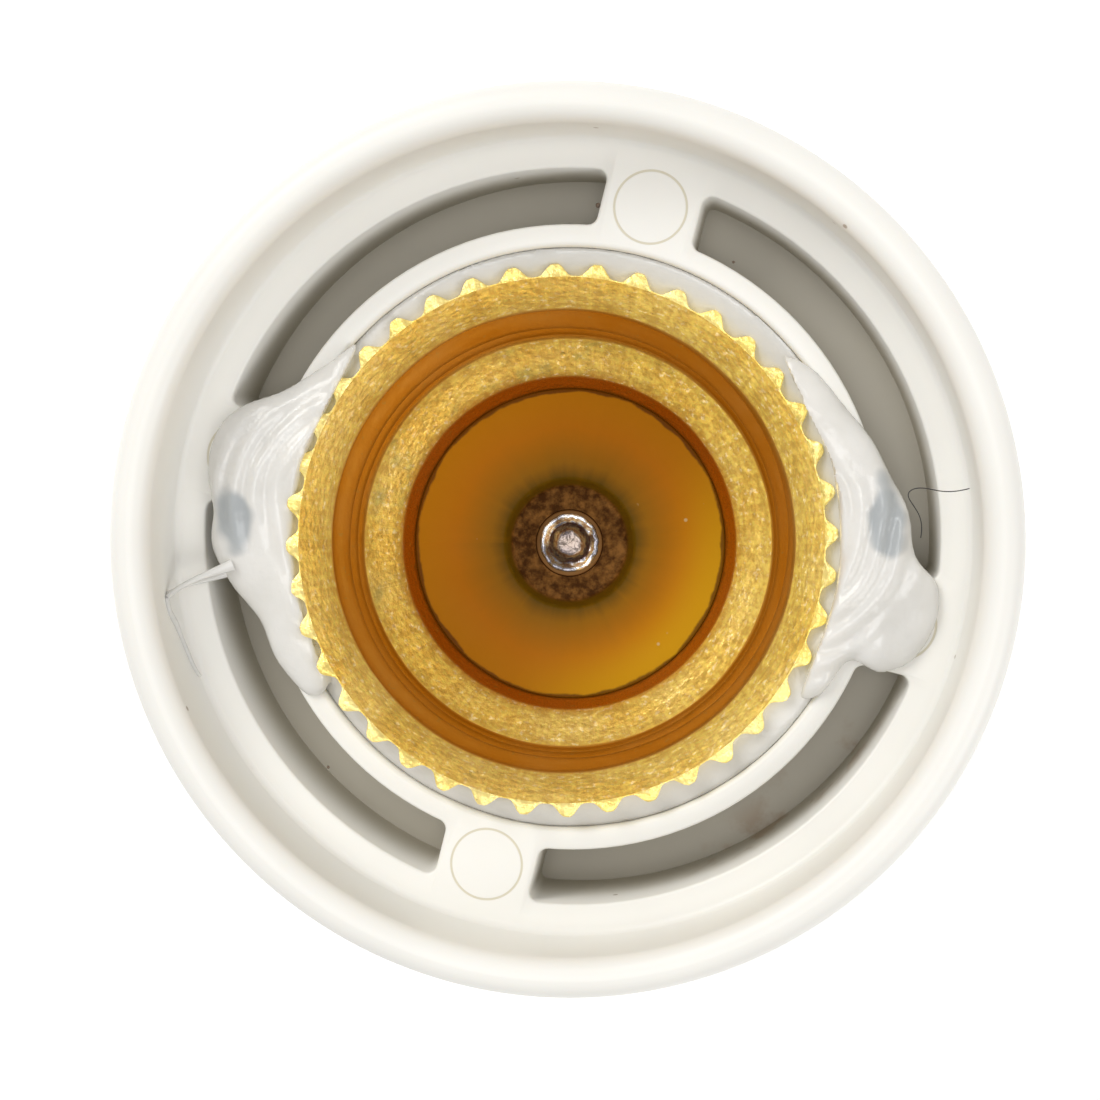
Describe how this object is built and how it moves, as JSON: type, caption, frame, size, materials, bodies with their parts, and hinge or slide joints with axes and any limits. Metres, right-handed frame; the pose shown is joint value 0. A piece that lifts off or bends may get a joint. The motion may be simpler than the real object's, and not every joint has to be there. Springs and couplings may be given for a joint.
{
  "type": "lamp socket adapter",
  "caption": "Screw-base lamp socket adapter: a large round-thread base steps down to a smaller brass screw socket glued into a white moulded housing.",
  "frame": {"origin": "on the housing's axis at the underside of the barrel, where the rim of the lamp holder stops", "axes": "+Z along the axis out of the socket's mouth; +X and +Y across it, as right and up in a view into the mouth"},
  "size_m": [0.0478, 0.0478, 0.0728],
  "materials": {
    "housing": "moulded white, semi-gloss",
    "socket_brass": "bare pressed brass",
    "socket_insulator": "amber, slightly glossy",
    "eyelet": "tarnished brass",
    "solder": "tin solder, bright",
    "glue": "hot-melt glue, translucent",
    "base_metal": "nickel plated",
    "base_insulator": "black, glossy",
    "wire_red": "wire insulation",
    "wire_white": "wire insulation",
    "copper": "bare copper strand"
  },
  "bodies": {
    "root": {"housing": "housing", "socket_shell": "socket_brass", "socket_insulator": "socket_insulator", "socket_eyelet": "eyelet", "socket_solder": "solder", "glue_bead": "glue", "base_shell": "base_metal", "base_insulator": "base_insulator", "base_contact": "eyelet", "base_solder": "solder", "centre_wire": "wire_red", "centre_wire_core": "copper", "shell_wire": "wire_white", "shell_wire_core": "copper", "shell_joint": "solder", "base_joint": "solder"}
  },
  "joints": []
}
